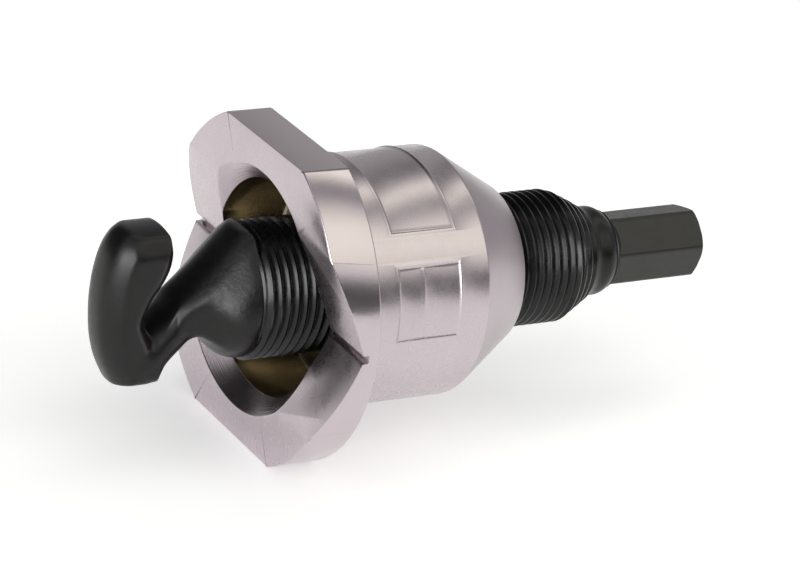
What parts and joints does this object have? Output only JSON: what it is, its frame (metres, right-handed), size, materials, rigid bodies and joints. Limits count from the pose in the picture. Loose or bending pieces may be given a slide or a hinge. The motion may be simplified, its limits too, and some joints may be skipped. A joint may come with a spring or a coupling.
{
  "type": "pipe collar puller",
  "caption": "Collar puller for pipe branches: flanged bell with a vee saddle, and a forged hook spindle with hexagon drive screwed through it.",
  "frame": {"origin": "where the spindle axis meets the plane of the bell's front face", "axes": "+X along the spindle towards the hexagon, +Z square to the upper flange flat, Y along the vee saddle"},
  "size_m": [0.1102, 0.056, 0.05],
  "materials": {
    "nickel": "satin nickel plate, turned and brushed",
    "black_steel": "black oxide on a forging, oiled"
  },
  "bodies": {
    "bell": {"bell_body": "nickel"},
    "feed": {"spindle_shoulder": "black_steel"},
    "spindle": {"hook_spindle": "black_steel"}
  },
  "joints": [
    {"name": "spindle_feed", "type": "slide", "parent": "bell", "child": "feed", "axis": [1, 0, 0], "range_m": [-0.01202, 0.01727]},
    {"name": "spindle_turn", "type": "hinge", "parent": "feed", "child": "spindle", "pos_m": [0.063, 0, 0], "axis": [1, 0, 0], "range_deg": [-4140, 2880]}
  ],
  "couplings": [
    {"joint": "spindle_feed", "follows": "spindle_turn", "m_per_rad": -0.00023873}
  ]
}
